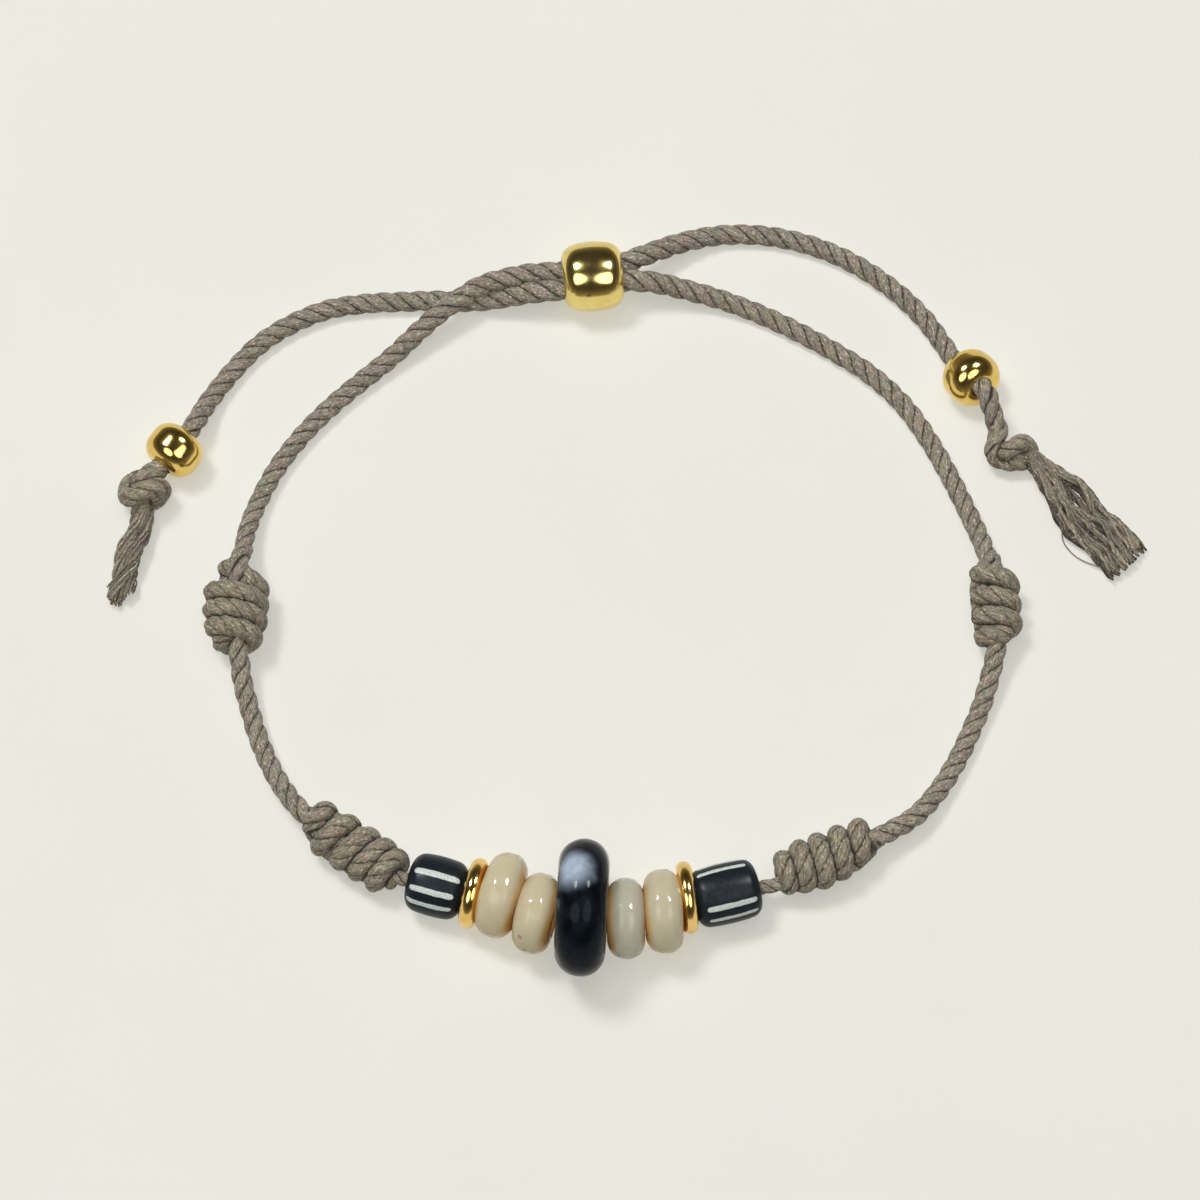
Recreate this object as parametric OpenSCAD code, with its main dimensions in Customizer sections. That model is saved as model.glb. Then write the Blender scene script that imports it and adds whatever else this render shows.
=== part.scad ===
// Adjustable rope bracelet, lying open on a table.
// A loop of twisted rope carries nine beads at the front between four barrel knots.
// Both rope ends run through a gold slide bead at the back, and out to a stopper bead,
// a knot and a frayed end each. Millimetres: X to the right, Y to the back, Z up.
// The origin is on the table, under the middle of the wrist loop.

/* [Rope] */
// Diameter of the twisted rope
rope_d = 1.7; // [1.4:0.05:1.75]
// Diameter of the thin cord that carries the beads
bead_cord_d = 1.2; // [0.8:0.05:1.3]
// Number of flat sides round each rope
rope_sides = 8; // [6:1:12]

/* [Barrel knots] */
// Outer diameter of the knot at the left of the loop
left_knot_d = 6; // [4.6:0.1:6]
// Outer diameter of the knot at the right of the loop
right_knot_d = 4.9; // [4.2:0.1:4.9]
// Outer diameter of the two knots beside the beads
front_knot_d = 5.2; // [4.4:0.1:5.3]
// Length along the knot that one wrap of the rope takes
wrap_pitch = 1.85; // [1.6:0.05:2.2]
// Diameter of the end knot past the left stopper bead
left_end_knot_d = 4.3; // [3.6:0.1:4.3]
// Diameter of the end knot past the right stopper bead
right_end_knot_d = 3.5; // [3:0.1:3.6]

/* [Glass beads] */
// Diameter of the black disc at the middle
disc_d = 12; // [10:0.1:12]
// Thickness of the black disc
disc_w = 4.4; // [3.6:0.1:4.4]
// Diameter of the hole in the black disc
disc_hole_d = 3.2; // [3.1:0.05:3.4]
// Thickness of the two cream rings on the left
cream_left_w = 3.2; // [2.8:0.05:3.2]
// Thickness of the two cream rings on the right
cream_right_w = 3.05; // [2.8:0.05:3.05]
// Diameter of the hole in each cream ring
cream_hole_d = 3.3; // [3.2:0.05:3.5]
// Diameter of the striped beads
striped_d = 5.4; // [4.8:0.1:5.5]
// Diameter of the hole in each striped bead
striped_hole_d = 1.8; // [1.6:0.05:2]

/* [Gold beads] */
// Diameter of the thin spacer rings
spacer_d = 6.5; // [6:0.1:6.5]
// Thickness of the thin spacer rings
spacer_w = 1.3; // [1.1:0.05:1.3]
// Diameter of the hole in each spacer ring
spacer_hole_d = 3; // [2.6:0.1:3.4]
// Diameter of the slide bead that two ropes share
slide_d = 6.4; // [6:0.1:6.4]
// Length of the slide bead
slide_w = 5.6; // [4.8:0.1:5.6]
// Diameter of the hole through the slide bead
slide_hole_d = 3.9; // [3.8:0.05:4.1]
// Diameter of the stopper beads
stopper_d = 5.1; // [4.8:0.1:5.2]
// Length of the stopper beads
stopper_w = 3.9; // [3.4:0.1:4]
// Diameter of the hole through each stopper bead
stopper_hole_d = 2; // [1.95:0.05:2.3]

/* [Frayed ends] */
// Thickness of a loose strand at the left end
left_strand_d = 1.3; // [1:0.05:1.4]
// Thickness of a loose strand at the right end
right_strand_d = 1; // [0.8:0.05:1.1]
// Width of the right end where its strands have fanned out
fan_w = 4; // [3:0.1:4.4]

/* [Hidden] */

rope_color = [0.50, 0.46, 0.40];
gold_color = [0.86, 0.66, 0.25];
cream_color = [0.82, 0.76, 0.64];
black_color = [0.07, 0.08, 0.10];
fine = 64;
strand_facets = 8;
knot_sides = 16;
knot_rings_per_wrap = 5;
left_twist_r = 0.65;
neck_d = rope_d + 0.7;

// Left side of the loop: from its knot, over the left tail, to the middle of the slide bead
rope_left_route = [
    [-33.2, 5.2, 2.7], [-33.0, 7.3, 1.9], [-32.2, 10.2, 1.1], [-30.6, 13.7, 0.9],
    [-28.4, 16.9, 0.9], [-26.0, 19.6, 0.9], [-23.2, 22.2, 0.9], [-20.2, 24.7, 1.2],
    [-17.5, 27.1, 2.1], [-15.0, 29.1, 2.7], [-12.2, 31.0, 2.9], [-9.1, 31.9, 3.1],
    [-6.9, 32.2, 3.2], [-4.8, 32.3, 3.2], [-2.1, 32.7, 3.2]];

// Right side of the loop: from its knot to the middle of the slide bead
rope_right_route = [
    [33.6, 4.7, 2.4], [33.0, 6.9, 1.7], [31.9, 9.9, 1.0], [30.4, 13.3, 0.9],
    [28.7, 16.6, 0.9], [26.5, 20.0, 0.9], [23.7, 22.9, 0.9], [20.6, 25.1, 0.9],
    [17.1, 27.2, 0.9], [13.6, 29.0, 0.9], [10.1, 30.3, 1.2], [6.8, 31.0, 1.9],
    [3.8, 31.3, 2.8], [1.0, 31.3, 3.2], [-1.6, 30.9, 3.2]];

// Short front ropes, each from a side knot down to a knot beside the beads
rope_front_left_route = [
    [-33.3, -5.0, 2.7], [-33.0, -7.1, 2.1], [-32.3, -9.6, 1.4], [-31.4, -12.4, 1.2],
    [-30.2, -15.1, 1.4], [-28.9, -17.4, 2.1], [-27.6, -19.1, 2.6]];
rope_front_right_route = [
    [34.1, -4.2, 2.4], [33.6, -6.3, 1.8], [32.8, -8.9, 1.2], [31.7, -11.5, 1.0],
    [30.4, -14.2, 1.0], [28.7, -17.0, 1.3], [26.5, -19.6, 2.0], [23.3, -21.6, 2.5]];

// Thin cord through the nine beads, highest inside the disc
bead_cord_route = [
    [-18.4, -25.5, 2.7], [-15.5, -26.2, 2.9], [-12.7, -26.9, 3.2], [-9.9, -27.8, 3.9],
    [-7.0, -28.6, 4.7], [-4.9, -29.0, 5.2], [-0.5, -29.1, 5.2], [1.5, -29.0, 4.7],
    [4.4, -28.4, 3.9], [7.1, -27.5, 3.1], [10.2, -26.9, 2.8], [13.8, -26.1, 2.6]];

// Free tails: from the middle of the slide bead, through a stopper bead, to an end knot
tail_left_route = [
    [-1.9, 30.9, 3.2], [-4.5, 30.5, 3.2], [-7.2, 30.2, 2.8], [-10.0, 30.1, 1.9],
    [-12.8, 30.2, 1.1], [-15.9, 30.4, 0.9], [-19.3, 30.3, 0.9], [-22.8, 30.1, 0.9],
    [-26.2, 29.5, 0.9], [-29.4, 28.1, 0.9], [-32.3, 26.1, 0.9], [-34.8, 23.3, 0.9],
    [-36.9, 20.1, 1.3], [-38.3, 16.9, 2.7], [-41.2, 13.0, 2.4]];
tail_right_route = [
    [-1.8, 32.7, 3.2], [0.7, 33.2, 3.2], [3.4, 34.5, 2.7], [6.3, 35.9, 1.7],
    [9.7, 36.9, 1.0], [13.2, 37.0, 0.9], [16.7, 36.4, 0.9], [20.1, 35.2, 0.9],
    [23.3, 33.4, 0.9], [26.2, 31.1, 0.9], [28.6, 28.5, 0.9], [30.3, 25.9, 0.9],
    [31.5, 23.8, 1.4], [33.6, 20.3, 4.0], [34.1, 18.9, 3.9], [34.5, 17.8, 3.2],
    [34.9, 16.9, 2.5]];

// Middle lines of the knots, each from end to end
knot_left_line = [[-33.3, 4.8, 3.05], [-33.5, -4.7, 3.05]];
knot_right_line = [[33.8, 4.3, 2.5], [34.25, -3.8, 2.5]];
knot_front_left_line = [[-27.3, -19.4, 2.65], [-18.6, -25.3, 2.65]];
knot_front_right_line = [[22.9, -21.8, 2.65], [13.9, -25.6, 2.65]];
end_knot_left_line = [[-41.7, 12.7, 2.15], [-43.0, 9.8, 2.15]];
end_knot_right_line = [[33.75, 14.9, 1.8], [38.5, 15.5, 1.8]];

// Each bead on the cord: its centre, its turn in the plan, its rise to the right and its size
striped_left_pose = [[-15.5, -26.2, 2.95], -13, 4];
spacer_left_pose = [[-12.3, -27.1, 3.35], -11, 0];
cream_1_pose = [[-9.95, -27.5, 3.9], -9, 0];
cream_2_pose = [[-6.75, -29.1, 4.1], -6, 0];
disc_pose = [[-2.7, -29.1, 6.05], -2, 0];
cream_3_pose = [[1.2, -29.5, 4.05], 1, 0];
cream_4_pose = [[4.4, -28.9, 3.9], 3, 0];
spacer_right_pose = [[6.7, -27.5, 3.35], 6, 0];
striped_right_pose = [[10.3, -26.9, 2.85], 12, -4];
slide_pose = [[-1.8, 31.85, 3.2], 9, 0];
stopper_left_pose = [[-39.7, 15.0, 2.57], 53.6, 3.6];
stopper_right_pose = [[32.55, 22.05, 2.7], -59, 32.5];

cream_diameters = [7.6, 7.3, 7.1, 7.4];
striped_left_w = 5;
striped_right_w = 5.4;

// Middle lines of the frayed ends
frayed_left_route = [
    [-42.7, 8.8, 1.4], [-42.8, 7.4, 1.2], [-43.5, 5.6, 1.2], [-44.0, 3.7, 1.2],
    [-44.4, 2.0, 1.2], [-44.6, 0.9, 1.2]];
frayed_right_route = [
    [39.0, 13.4, 1.3], [40.7, 11.6, 1.1], [42.7, 9.6, 1.0], [44.5, 7.4, 1.0],
    [46.4, 5.1, 1.0]];

function unit(v) = v / norm(v);

// Direction of a route at one of its points
function heading(route, i) = unit(route[min(i + 1, len(route) - 1)] - route[max(i - 1, 0)]);

// Directions across a heading: level to its side, and up
function side_of(along) = unit(cross([0, 0, 1], along));
function up_of(along) = cross(along, side_of(along));

// Ring of points round a centre, with one radius for each side
function ring(centre, along, radii) =
    let (count = len(radii), side = side_of(along), up = up_of(along))
    [for (k = [0 : count - 1])
        let (angle = 360 * k / count)
        centre + radii[k] * (cos(angle) * side + sin(angle) * up)];

// Triangles between two neighbouring rings, from the first point of the lower one
function band(first, sides) = [for (k = [0 : sides - 1])
    let (a = first + k, b = first + (k + 1) % sides)
    each [[b, a, a + sides], [b, a + sides, b + sides]]];

// Closed solid through a list of rings that have the same number of points
module skin(rings) {
    sides = len(rings[0]);
    last = (len(rings) - 1) * sides;
    start_cap = [[for (k = [0 : sides - 1]) k]];
    end_cap = [[for (k = [sides - 1 : -1 : 0]) last + k]];
    bands = [for (i = [0 : len(rings) - 2]) each band(i * sides, sides)];
    polyhedron(points = [for (r = rings) each r], faces = concat(start_cap, bands, end_cap), convexity = 6);
}

// Plain round tube along a route
module tube(route, diameter) {
    skin([for (i = [0 : len(route) - 1])
        ring(route[i], heading(route, i), [for (k = [1 : rope_sides]) diameter / 2])]);
}

// Surface radius of wound rope: crowns of a helix, drawn in to a neck over two shoulders
function wrap_radius(s, angle, length, diameter, shoulders) =
    let (turn = s / wrap_pitch - angle / 360,
         off = (turn - round(turn)) * wrap_pitch,
         reach = 0.58 * wrap_pitch,
         crown = diameter / 2 - reach + sqrt(reach * reach - off * off),
         round_in = max(0, min(1, s / shoulders[0], (length - s) / shoulders[1])),
         rise = sqrt(1 - pow(1 - round_in, 2)))
    neck_d / 2 + (crown - neck_d / 2) * rise;

// Barrel knot along its middle line, with the length of its rounded shoulder at each end
module wound_knot(line, diameter, shoulders) {
    length = norm(line[1] - line[0]);
    along = unit(line[1] - line[0]);
    steps = round(length / wrap_pitch * knot_rings_per_wrap);
    skin([for (i = [0 : steps])
        let (s = length * i / steps)
        ring(line[0] + s * along, along,
             [for (k = [0 : knot_sides - 1])
                 wrap_radius(s, 360 * k / knot_sides, length, diameter, shoulders)])]);
}

// Turns a bead that is made along Z to lie along the cord at its place
module placed(pose) {
    translate(pose[0]) rotate([0, 0, pose[1]]) rotate([0, 90 - pose[2], 0]) children();
}

// Half profile of a bead: a rounded block cut by a large arc on its outer side, and by its hole
module barrel_profile(diameter, width, hole_d, corner, bulge_r) {
    outer = diameter / 2;
    intersection() {
        union() {
            translate([0, -width / 2 + corner]) square([outer, width - 2 * corner]);
            translate([0, -width / 2]) square([outer - corner, width]);
            for (y = [-1, 1])
                translate([outer - corner, y * (width / 2 - corner)]) circle(r = corner, $fn = fine);
        }
        translate([outer - bulge_r, 0]) circle(r = bulge_r, $fn = fine);
        translate([hole_d / 2, -width]) square([outer, 2 * width]);
    }
}

// Half profile of a ring that is rounded on its outer side and round its hole
module ring_profile(diameter, width, hole_d, corner, bulge_r) {
    barrel_profile(diameter, width, hole_d + 2 * corner, corner, bulge_r);
    translate([hole_d / 2 + corner, -width / 2]) square([0.2, width]);
    translate([hole_d / 2, -width / 2 + corner]) square([corner + 0.2, width - 2 * corner]);
    for (y = [-1, 1])
        translate([hole_d / 2 + corner, y * (width / 2 - corner)]) circle(r = corner, $fn = fine);
}

// Half profile of the disc: its rim narrows to a small round tip
module disc_profile() {
    tip_r = 1.55;
    waist_x = 3.3;
    edge_r = 0.8;
    translate([disc_d / 2 - tip_r, 0]) circle(r = tip_r, $fn = fine);
    intersection() {
        translate([waist_x, 0]) circle(r = disc_w / 2, $fn = fine);
        translate([waist_x, -disc_w]) square([disc_d, 2 * disc_w]);
    }
    translate([disc_hole_d / 2 + edge_r, -disc_w / 2]) square([waist_x - disc_hole_d / 2 - edge_r, disc_w]);
    translate([disc_hole_d / 2, -disc_w / 2 + edge_r]) square([waist_x, disc_w - 2 * edge_r]);
    for (y = [-1, 1])
        translate([disc_hole_d / 2 + edge_r, y * (disc_w / 2 - edge_r)]) circle(r = edge_r, $fn = fine);
}

module cream_bead(pose, diameter, width) {
    placed(pose) rotate_extrude($fn = fine) ring_profile(diameter, width, cream_hole_d, 0.95, 2.3);
}

module spacer(pose) {
    placed(pose) rotate_extrude($fn = fine) ring_profile(spacer_d, spacer_w, spacer_hole_d, 0.6, 0.9);
}

module striped_bead(pose, width) {
    placed(pose) rotate_extrude($fn = fine) barrel_profile(striped_d, width, striped_hole_d, 0.9, 9);
}

module stopper(pose) {
    placed(pose) rotate_extrude($fn = fine)
        barrel_profile(stopper_d, stopper_w, stopper_hole_d, 1.3, 2.7);
}

// One loose strand: rounded links from point to point
module strand(points, diameter) {
    for (i = [0 : len(points) - 2]) hull() {
        translate(points[i]) sphere(d = diameter, $fn = strand_facets);
        translate(points[i + 1]) sphere(d = diameter, $fn = strand_facets);
    }
}

module rope_left() { color(rope_color) tube(rope_left_route, rope_d); }
module rope_right() { color(rope_color) tube(rope_right_route, rope_d); }
module rope_front_left() { color(rope_color) tube(rope_front_left_route, rope_d); }
module rope_front_right() { color(rope_color) tube(rope_front_right_route, rope_d); }
module bead_cord() { color(rope_color) tube(bead_cord_route, bead_cord_d); }
module tail_left() { color(rope_color) tube(tail_left_route, rope_d); }
module tail_right() { color(rope_color) tube(tail_right_route, rope_d); }

module knot_left() {
    color(rope_color) wound_knot(knot_left_line, left_knot_d, [3.2, 2.4]);
}

module knot_right() {
    color(rope_color) wound_knot(knot_right_line, right_knot_d, [2.4, 2.2]);
}

module knot_front_left() {
    color(rope_color) wound_knot(knot_front_left_line, front_knot_d, [3, 1.8]);
}

module knot_front_right() {
    color(rope_color) wound_knot(knot_front_right_line, front_knot_d, [2, 2.2]);
}

module end_knot_left() {
    color(rope_color) wound_knot(end_knot_left_line, left_end_knot_d, [1.5, 1.5]);
}

module end_knot_right() {
    color(rope_color) wound_knot(end_knot_right_line, right_end_knot_d, [1.5, 1.5]);
}

module striped_bead_left() { color(black_color) striped_bead(striped_left_pose, striped_left_w); }
module striped_bead_right() { color(black_color) striped_bead(striped_right_pose, striped_right_w); }
module spacer_left() { color(gold_color) spacer(spacer_left_pose); }
module spacer_right() { color(gold_color) spacer(spacer_right_pose); }
module cream_bead_1() { color(cream_color) cream_bead(cream_1_pose, cream_diameters[0], cream_left_w); }
module cream_bead_2() { color(cream_color) cream_bead(cream_2_pose, cream_diameters[1], cream_left_w); }
module cream_bead_3() { color(cream_color) cream_bead(cream_3_pose, cream_diameters[2], cream_right_w); }
module cream_bead_4() { color(cream_color) cream_bead(cream_4_pose, cream_diameters[3], cream_right_w); }
module stopper_left() { color(gold_color) stopper(stopper_left_pose); }
module stopper_right() { color(gold_color) stopper(stopper_right_pose); }

module black_disc() {
    color(black_color) placed(disc_pose) rotate_extrude($fn = fine) disc_profile();
}

module slide_bead() {
    color(gold_color) placed(slide_pose) rotate_extrude($fn = fine)
        barrel_profile(slide_d, slide_w, slide_hole_d, 1.6, 9);
}

// Left end: three strands still half twisted round each other, cut off blunt
module frayed_end_left() {
    last = len(frayed_left_route) - 1;
    color(rope_color) for (n = [0 : 2]) strand([for (i = [0 : last])
        let (angle = 120 * n + 50 * i, along = heading(frayed_left_route, i))
        frayed_left_route[i] + left_twist_r * (cos(angle) * side_of(along) + 0.7 * sin(angle) * up_of(along))],
        left_strand_d);
}

// Right end: five strands that fan out flat, with a slit between the third and the fourth
module frayed_end_right() {
    last = len(frayed_right_route) - 1;
    places = [-0.5, -0.25, 0, 0.32, 0.5];
    lifts = [0, 0.3, 0.1, 0.25, 0];
    color(rope_color) for (n = [0 : 4]) strand([for (i = [0 : last])
        let (spread = (fan_w - right_strand_d) * (0.3 + 0.7 * min(1, i / 2)),
             along = heading(frayed_right_route, i))
        frayed_right_route[i] + spread * places[n] * side_of(along) + lifts[n] * up_of(along)],
        right_strand_d);
}

rope_left();
rope_right();
rope_front_left();
rope_front_right();
bead_cord();
knot_left();
knot_right();
knot_front_left();
knot_front_right();
striped_bead_left();
spacer_left();
cream_bead_1();
cream_bead_2();
black_disc();
cream_bead_3();
cream_bead_4();
spacer_right();
striped_bead_right();
slide_bead();
tail_left();
tail_right();
stopper_left();
stopper_right();
end_knot_left();
end_knot_right();
frayed_end_left();
frayed_end_right();
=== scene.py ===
import math
import bpy
import bmesh
import numpy as np
from mathutils import Matrix, Vector


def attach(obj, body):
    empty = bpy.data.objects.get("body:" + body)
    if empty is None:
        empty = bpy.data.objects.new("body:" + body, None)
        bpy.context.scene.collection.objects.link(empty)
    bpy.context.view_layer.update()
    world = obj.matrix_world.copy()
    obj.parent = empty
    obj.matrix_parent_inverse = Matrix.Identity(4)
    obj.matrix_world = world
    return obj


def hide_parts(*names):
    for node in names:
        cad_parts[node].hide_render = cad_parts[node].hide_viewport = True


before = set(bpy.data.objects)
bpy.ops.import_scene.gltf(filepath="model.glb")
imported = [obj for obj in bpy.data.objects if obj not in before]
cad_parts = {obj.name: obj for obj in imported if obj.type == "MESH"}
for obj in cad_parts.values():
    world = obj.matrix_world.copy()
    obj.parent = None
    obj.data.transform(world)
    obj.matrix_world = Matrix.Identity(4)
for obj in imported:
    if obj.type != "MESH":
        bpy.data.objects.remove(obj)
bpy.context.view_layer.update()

# Rope bracelet lying open on a pale table. Lengths in this file are millimetres until
# a piece is built, because that is how a bracelet is measured.
mm = 0.001
draw = np.random.default_rng(11)

# Camera, looking down from the side of the front beads
camera = {"target": (-1.2, 1.5, 0.0), "distance": 450, "elevation": 70, "lens": 150, "sensor": 36,
          "nearest": 10}


def placeCamera():
    data = bpy.data.cameras.new("camera")
    data.lens = camera["lens"]
    data.sensor_width = camera["sensor"]
    data.clip_start = camera["nearest"] * mm
    eye = bpy.data.objects.new("camera", data)
    bpy.context.scene.collection.objects.link(eye)
    lift = math.radians(camera["elevation"])
    back = Vector((0, -math.cos(lift), math.sin(lift))) * camera["distance"]
    eye.location = (Vector(camera["target"]) + back) * mm
    eye.rotation_euler = (math.pi / 2 - lift, 0, 0)
    bpy.context.scene.camera = eye
    print("camera placed")


placeCamera()


# Rope: strands laid round each other, each with its yarns as fine ridges. lay is the length of one
# turn. centre, deep and wide are a strand's distance from the middle and its half sizes, and the
# three full ones are what they change by where strands are pressed. Each strand carries painted
# shade: darkest in the grooves between strands, it gets lighter from grooveAt outwards, over grooveFade.
ropeShape = {"strands": 3, "lay": 4.7, "centre": 0.37, "deep": 0.53, "wide": 0.545, "sides": 32,
             "yarns": 11, "relief": 0.05, "yarnTurn": 0.97, "step": 0.2,
             "fullCentre": -0.08, "fullDeep": 0.08, "fullWide": 0.07,
             "grooveAt": 0.79, "grooveFade": 0.15, "toneStep": 0.3, "mapStep": 7.3}
# Painted shade: a knot's rope is darker where rope lies nearer than fade, its own only past ownReach along it
contactShade = {"ownReach": 2.4, "touch": 0.02, "fade": 0.34, "darkest": 0.16}
spanCuts = 24  # steps between two points of a route, before it is cut into equal ones
meanRidge = 0.6  # about the mean height of a ridge, so that ridges don't fatten a strand


# Smooth line through a route's points, cut into equal steps
def smoothRoute(points, step=ropeShape["step"]):
    p = np.array(points, float)
    p = np.vstack([2 * p[0] - p[1], p, 2 * p[-1] - p[-2]])
    t = np.linspace(0, 1, spanCuts, endpoint=False)[:, None]
    spans = []
    for i in range(1, len(p) - 2):
        a, b, c, d = p[i - 1:i + 3]
        spans.append(b + 0.5 * t * (c - a + t * (2 * a - 5 * b + 4 * c - d + t * (3 * b - a - 3 * c + d))))
    dense = np.vstack(spans + [p[-2]])
    run = runLength(dense)
    at = np.linspace(0, run[-1], max(3, int(round(run[-1] / step))) + 1)
    return np.stack([np.interp(at, run, dense[:, k]) for k in range(dense.shape[1])], axis=1)


def runLength(path):
    return np.concatenate([[0], np.cumsum(np.linalg.norm(np.diff(path, axis=0), axis=1))])


def unitRows(rows):
    return rows / np.maximum(np.linalg.norm(rows, axis=1, keepdims=True), 1e-9)


# Directions that follow a line without twisting: to its side, and up from it
def followLine(path):
    along = unitRows(np.gradient(path, axis=0))
    side = np.cross(along[0], (0, 0, 1.0))
    if np.linalg.norm(side) < 0.1:
        side = np.cross(along[0], (0, 1.0, 0))
    sides = []
    for direction in along:
        side = side - direction * np.dot(side, direction)
        side = side / np.linalg.norm(side)
        sides.append(side)
    sides = np.array(sides)
    return sides, np.cross(along, sides)


# Rings of one tube round a line, with their yarn map. outward points to the tube's crown.
def tubeRings(line, outward, deep, wide, sides, ridges=0, relief=0.0, ridgeTurn=0.0):
    along = unitRows(np.gradient(line, axis=0))
    outward = unitRows(outward - along * np.sum(outward * along, axis=1, keepdims=True))
    across = np.cross(along, outward)
    run = runLength(line)[:, None]
    angle = np.linspace(-math.pi, math.pi, sides, endpoint=False)[None, :]
    swell = 1 + relief * (np.abs(np.cos(0.5 * ridges * (angle + ridgeTurn * run))) - meanRidge)
    high = deep[:, None] * np.cos(angle) * swell
    aside = wide[:, None] * np.sin(angle) * swell
    rings = line[:, None, :] + high[..., None] * outward[:, None, :] + aside[..., None] * across[:, None, :]
    turn = np.linspace(-math.pi, math.pi, sides + 1)[None, :]
    uv = np.stack([np.broadcast_to(run, (len(line), sides + 1)),
                   (turn + ridgeTurn * run) * float(np.mean(wide))], axis=-1)
    return rings, uv


# One mesh from many tubes. Each tube is rings, uv, a shade for each point, and one tone.
def meshFromTubes(name, tubes, material):
    points, faces, uvs, yarn = [], [], [], []
    base = 0
    for rings, uv, shade, tone in tubes:
        n, m = rings.shape[:2]
        points.extend([rings.reshape(-1, 3), rings[0].mean(axis=0)[None], rings[-1].mean(axis=0)[None]])
        i = np.arange(n - 1)[:, None] * m + base
        j = np.arange(m)[None, :]
        k = (j + 1) % m
        faces.extend(np.stack([i + j, i + k, i + m + k, i + m + j], axis=-1).reshape(-1, 4).tolist())
        uvs.append(np.stack([uv[:-1, :-1], uv[:-1, 1:], uv[1:, 1:], uv[1:, :-1]], axis=2).reshape(-1, 2))
        # Both ends are closed by triangles round a middle point
        last = base + (n - 1) * m
        around = [(a, (a + 1) % m) for a in range(m)]
        faces.extend([last + m, base + b, base + a] for a, b in around)
        faces.extend([last + m + 1, last + a, last + b] for a, b in around)
        uvs.extend([np.tile(uv[0, 0], (3 * m, 1)), np.tile(uv[-1, 0], (3 * m, 1))])
        paint = np.ones((n * m + 2, 4))
        paint[:n * m, 0] = shade.reshape(-1)
        paint[n * m:, 0] = 0.5
        paint[:, 1] = tone
        yarn.append(paint)
        base += n * m + 2
    mesh = bpy.data.meshes.new(name)
    mesh.from_pydata((np.vstack(points) * mm).tolist(), [], faces)
    layer = mesh.uv_layers.new(name="yarnMap")
    layer.data.foreach_set("uv", np.vstack(uvs).astype(np.float32).reshape(-1))
    attribute = mesh.color_attributes.new("yarn", "FLOAT_COLOR", "POINT")
    attribute.data.foreach_set("color", np.vstack(yarn).astype(np.float32).reshape(-1))
    mesh.polygons.foreach_set("use_smooth", [True] * len(mesh.polygons))
    mesh.materials.append(material)
    mesh.update()
    piece = bpy.data.objects.new(name, mesh)
    bpy.context.scene.collection.objects.link(piece)
    return piece


# The strands of a rope that follows a line. size is one number, or several spread along it.
# full is how far the strands swell into each other, from 0 to 1; tight is how much faster they turn.
def ropeTubes(path, size, phase, full=0.0, tight=1.0):
    side, up = followLine(path)
    run = runLength(path)
    sizes = np.atleast_1d(size)
    size = np.interp(run, np.linspace(0, run[-1], len(sizes)), sizes)
    turns = np.concatenate([[0], np.cumsum(np.diff(run) * tight / (ropeShape["lay"] * size[1:]))])
    centre = (ropeShape["centre"] + ropeShape["fullCentre"] * full) * size
    deep = (ropeShape["deep"] + ropeShape["fullDeep"] * full) * size
    wide = (ropeShape["wide"] + ropeShape["fullWide"] * full) * size
    yarnTurn = ropeShape["yarnTurn"] / float(size.mean())
    tubes = []
    for k in range(ropeShape["strands"]):
        angle = (phase + 2 * math.pi * (turns + k / ropeShape["strands"]))[:, None]
        out = np.cos(angle) * side + np.sin(angle) * up
        rings, uv = tubeRings(path + centre[:, None] * out, out, deep, wide, ropeShape["sides"],
                              ropeShape["yarns"], ropeShape["relief"], yarnTurn)
        # Painted shade: darkest where strands meet in the grooves
        reach = np.linalg.norm(rings - path[:, None, :], axis=2) / (centre + deep)[:, None]
        shade = np.clip((reach - ropeShape["grooveAt"]) / ropeShape["grooveFade"], 0, 1)
        tone = 0.5 + ropeShape["toneStep"] * (k - 1)
        tubes.append((rings, uv + k * ropeShape["mapStep"] + phase, shade, tone))
    return tubes


# The strands of all ropes in a knot, with painted shade where another turn of rope lies against them
def contactShadedTubes(ropes):
    others = np.vstack([rope[0][::2] for rope in ropes])
    tubes = []
    for i, (path, size, phase, full, tight) in enumerate(ropes):
        counted = []
        for j, rope in enumerate(ropes):
            apart = np.abs(runLength(path)[:, None] - runLength(rope[0])[None, ::2])
            counted.append(apart > contactShade["ownReach"] if j == i else np.ones(apart.shape, bool))
        counted = np.hstack(counted)
        for rings, uv, shade, tone in ropeTubes(path, size, phase, full, tight):
            near = [np.linalg.norm(ring[:, None, :] - others[seen][None, :, :], axis=2).min(axis=1)
                    for ring, seen in zip(rings, counted)]
            gap = np.array(near) - np.linalg.norm(rings - path[:, None, :], axis=2)
            light = np.clip((gap + contactShade["touch"]) / contactShade["fade"], 0, 1)
            tubes.append((rings, uv, shade * (contactShade["darkest"] + (1 - contactShade["darkest"]) * light), tone))
    return tubes


def colour(r, g, b):
    return (r, g, b, 1.0)


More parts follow.
